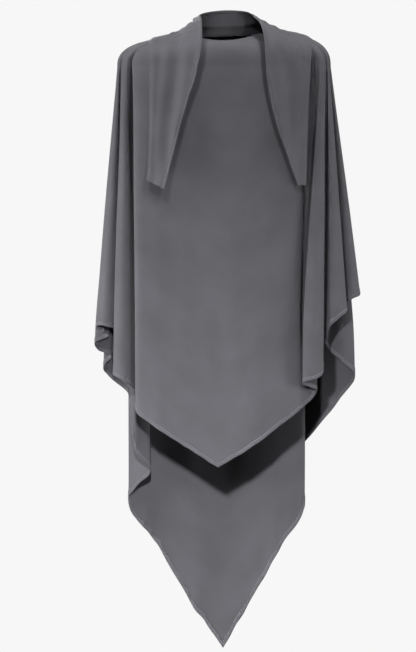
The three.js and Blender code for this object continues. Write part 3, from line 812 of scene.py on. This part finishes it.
def section(table, share):  # a row of a tie's table or between two, on a smooth curve
    place = share * (len(table) - 1)
    first = np.clip(place.astype(int), 0, len(table) - 2)
    before, a, b, after = (table[np.clip(first + k, 0, len(table) - 1)] for k in (-1, 0, 1, 2))
    ta, tb = (b - before) / 2, (after - a) / 2
    t = (place - first)[..., None]
    value = a * (1 + 2 * t) * (1 - t) ** 2 + ta * t * (1 - t) ** 2
    value = value + b * t**2 * (3 - 2 * t) - tb * t**2 * (1 - t)
    half = form["fallWidth"] / 2
    return value[..., 0], value[..., 1] * half, value[..., 2] * half, value[..., 3], value[..., 4]


def tieLines(table, count, shares):
    along = np.linspace(0, 1, count + 1)[:, None]
    fall, outer, inner, roll, lift = section(table, along + 0 * shares[None, :])
    share = shares[None, :] + 0 * fall
    if table is leftTieSections:
        end = smooth(collar["endFrom"], 1, along)
        fall = fall + collar["endSlant"] * end * (share - collar["endPivot"])
        lift = lift + collar["endCurl"] * end**2 * (1 - share / 2)
    x = mix(outer, inner, share)
    at = onFront(x, fall)
    off = offCloth(onFront(x + 1, fall) - at, onFront(x, fall + 0.02) - at)
    lifted = lift * mix(smooth(0, collar["edgeShare"], share), 1, smooth(*collar["liftOver"], fall))
    height = footHeight(share) + collar["bandHeightSide"] * (lifted + roll * rolled(share))
    return at + off * height[..., None]


def bandLines(count, shares):
    turn = np.linspace(270, 90, count + 1)[:, None] + 0 * shares[None, :]
    share = shares[None, :] + 0 * turn
    behind = np.abs(np.cos(np.radians(turn)))
    half = form["fallWidth"] / 2
    outer = np.where(turn < 180, rightTieSections[0, 1], leftTieSections[0, 1]) * half
    inner = np.where(turn < 180, rightTieSections[0, 2], leftTieSections[0, 2]) * half
    foot, top = ridgeLevel(outer), ridgeLevel(inner)
    rise = (ridgeLevel(mix(outer, inner, share)) - foot) / (top - foot)
    rise = mix(share, rise, smooth(collar["sideBlend"], 0, behind))
    level = mix(mix(foot, collar["skirtBack"], behind ** collar["skirtPower"]), top, rise)
    off = offCloth(onShoulder(turn + 1, level) - onShoulder(turn - 1, level),
                   onShoulder(turn, level + 0.01) - onShoulder(turn, level - 0.01))
    stands = mix(collar["bandHeightSide"], collar["bandHeightBack"], behind)
    height = footHeight(share) + stands * rolled(share)
    return onShoulder(turn, level) + off * height[..., None]


def collarGrid(body, roll):  # lines from the outer edge to the hem, with even steps and then the hem's own
    lines = np.concatenate([
        tieLines(leftTieSections, collar["tieLines"], body)[::-1],
        bandLines(collar["bandLines"], body)[1:-1],
        tieLines(rightTieSections, collar["tieLines"], body),
    ])
    steps = np.linalg.norm(np.diff(lines, axis=1), axis=2)
    width = np.concatenate([np.zeros((len(lines), 1)), np.cumsum(steps, axis=1)], axis=1)
    hemTop = 1 - collar["hemWidth"] / width[:, -1:]
    across = np.concatenate([body[None, :] * hemTop, mix(hemTop, 1, roll[None, 1:])], axis=1) * width[:, -1:]
    grid = np.empty(across.shape + (3,))
    for k in range(len(lines)):
        for axis in range(3):
            grid[k, :, axis] = np.interp(across[k], width[k], lines[k, :, axis])
    return grid, across


def collarRelief(grid, along, across):  # mm off the plain surface
    ties, band = collar["tieLines"], collar["bandLines"]
    look = collarWaves
    place = along[:, None] / along[-1] * 2 * np.pi
    ridges = (ties - look["creaseLine"], ties + band + look["creaseLine"])
    bend = sum(np.exp(-((along - along[k]) / look["creaseReach"]) ** 2) for k in ridges)[:, None]
    onTies = np.abs(np.arange(len(grid)) - (len(grid) - 1) / 2)[:, None] > band / 2
    off = look["soft"] * waves(place, across, look["softCounts"], look["softSeed"], look["softDrift"])
    creases = waves(place, across, look["creaseCounts"], look["creaseSeed"], look["creaseDrift"])
    off += look["creases"] * bend * smooth(*look["creaseStart"], across) * creases
    sway = look["sway"] * np.sin(along / look["swayLength"])[:, None]
    off += look["folds"] * onTies * (1 - bend) * np.sin(across / look["foldWidth"] + sway)
    off = off * smooth(0, look["calmEdge"], across) * smooth(0, look["calmHem"], across[:, -1:] - across)
    return off + pleated(grid)


def flip(array):  # the rows the other way, so that faces point outwards
    return array[:, ::-1]


def makeCollar():
    body = np.linspace(0, 1, collar["across"] + 1)
    roll = np.linspace(0, 1, collar["hemSteps"] + 1)
    grid, across = collarGrid(body, roll)
    along = distances(grid[:, len(body) // 2])
    uv = points(along[:, None], across)
    grid = grid - normalsOf(grid) * collarRelief(grid, along, across)[..., None]
    normals = -normalsOf(grid)
    rollThickness = collar["hemThickness"] * swelling(roll, collar["hemEdge"], collar["hemRoundness"])
    leftEnd, rightEnd = collar["tieLines"], collar["tieLines"] + collar["bandLines"]
    spans = {
        "left_tie": (0, leftEnd), "neck_band": (leftEnd, rightEnd), "right_tie": (rightEnd, len(grid) - 1),
    }
    pieces = {}
    for name, (first, last) in spans.items():
        lines = slice(first, last + 1)
        part = (lines, slice(0, len(body)))
        thicker = smooth(0, collar["edgeReach"], across[part])
        thickness = mix(collar["edgeThickness"], collar["thickness"], thicker)
        cloth = clothMesh(name + "_cloth", flip(grid[part]), flip(normals[part]), flip(thickness),
                          flip(uv[part]), clothMaterial)
        part = (lines, slice(len(body) - 1, None))
        hem = clothMesh(name + "_edge", flip(grid[part]), flip(normals[part]), rollThickness[None, ::-1],
                        flip(uv[part]), shadedEdgeMaterial)
        stitchAt = len(body)  # one row into the hem
        sewn(hem, grid[lines, stitchAt], normals[lines, stitchAt], rollThickness[1] / 2)
        pieces[name] = (cloth, hem)
    return pieces


collarPieces = makeCollar()
print("stage: collar made")

# What each piece stands for

hemNodes = {name: name + "_hem" for name in collarPieces}
hemNodes |= {"front_panel": "front_hem", "back_panel": "back_hem"}
pairs = {"front_panel": (frontPanel, frontHem), "back_panel": (backPanel, backHem), **collarPieces}
for name, (cloth, edge) in pairs.items():
    for piece, node, slot in ((cloth, name, "veil_cloth"), (edge, hemNodes[name], "hem_cloth")):
        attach(piece, "root")
        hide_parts(node)
    built = sum(face.area for face in cloth.data.polygons) / 2
    print(f"stage: {name} stands in, {built:.3f} square metres of cloth")

# Studio

studio = {
    "scale": 2.3, "rows": 652,  # mm to a pixel of the photograph, and its height in pixels
    "middleX": -36.8, "middleZ": -657.8,    # mm, what the middle of the photograph shows
    "distance": 20.0, "sensor": 36,         # m and mm: far off, as the photograph looks flat
    "floor": -1.75, "floorHalf": 6,         # m; in the photograph's view it lies below the picture
    "floorPaint": "#a6a6a6", "floorRoughness": 0.9,
    "floorGlow": 0.6,                       # what the rest of the pale room adds
    "seen": 0.93, "ambient": 0.05,          # the room as the camera sees it, and the light that it gives
    "overheadPower": 2, "overheadAngle": 28,
}
# name, place, what it looks at, size (m), power (W), spread in degrees
lamps = [
    ("upperLeftLight", (-0.55, -1.4, 1.2), (0, 0, -0.25), 0.2, 2.1, 60),
    ("upperRightLight", (0.5, -1.4, 1.2), (0, 0, -0.25), 0.2, 2.4, 60),
    ("keyLight", (-0.2, -2.3, -0.3), (0, 0, -1.35), 0.12, 7.8, 54),
    ("backLight", (-0.9, 3.0, 0.3), (0, 0.1, -0.75), 1.4, 34, 110),
    ("leftLight", (-2.5, -0.35, -0.6), (0, 0, -0.8), 1.0, 38, 120),
    ("rightLight", (2.5, -0.35, -0.6), (0, 0, -0.8), 1.0, 16, 120),
]


def makeCamera():
    camera = bpy.data.cameras.new("camera")
    camera.sensor_width = studio["sensor"]
    camera.lens = studio["sensor"] * studio["distance"] / (studio["rows"] * studio["scale"] / 1000)
    camera.clip_end = 100
    eye = newObject("camera", camera)
    eye.location = (studio["middleX"] / 1000, -studio["distance"], studio["middleZ"] / 1000)
    eye.rotation_euler = (math.radians(90), 0, 0)
    return eye


def makeRoom():
    world = bpy.data.worlds.new("paleRoom")
    world.use_nodes = True
    tree = world.node_tree
    room = tree.nodes["Background"]
    room.inputs["Color"].default_value = (1, 1, 1, 1)
    ray = addNode(tree, "ShaderNodeLightPath")
    strength = addNode(tree, "ShaderNodeMapRange", {"To Min": studio["ambient"], "To Max": studio["seen"]},
                       {"Value": ray.outputs["Is Camera Ray"]})
    tree.links.new(strength.outputs[0], room.inputs["Strength"])
    return world


def makeFloor():
    paint = bpy.data.materials.new("paleMattPaint")
    paint.use_nodes = True
    matt = paint.node_tree.nodes["Principled BSDF"]
    matt.inputs["Base Color"].default_value = linear(studio["floorPaint"])
    matt.inputs["Roughness"].default_value = studio["floorRoughness"]
    matt.inputs["Emission Color"].default_value = (1, 1, 1, 1)
    matt.inputs["Emission Strength"].default_value = studio["floorGlow"]
    half, z = studio["floorHalf"], studio["floor"]
    corners = [(-half, -half, z), (half, -half, z), (half, half, z), (-half, half, z)]
    mesh = bpy.data.meshes.new("floor")
    mesh.from_pydata(corners, [], [(0, 1, 2, 3)])
    mesh.materials.append(paint)
    floor = newObject("floor", mesh)
    floor.visible_diffuse = floor.visible_glossy = False  # it throws no light up into the folds
    return floor


def makeLights():
    for name, place, target, size, power, spread in lamps:
        lamp = bpy.data.lights.new(name, "AREA")
        lamp.energy, lamp.size, lamp.spread = power, size, math.radians(spread)
        light = newObject(name, lamp)
        light.location = place
        light.rotation_euler = (Vector(target) - Vector(place)).to_track_quat("-Z", "Y").to_euler()
    overhead = bpy.data.lights.new("overheadLight", "SUN")
    overhead.energy, overhead.angle = studio["overheadPower"], math.radians(studio["overheadAngle"])
    newObject("overheadLight", overhead)


scene = bpy.context.scene
scene.view_settings.view_transform = "Standard"
scene.view_settings.look = "None"
scene.camera = makeCamera()
scene.world = makeRoom()
floor = makeFloor()
makeLights()
print("stage: studio made")
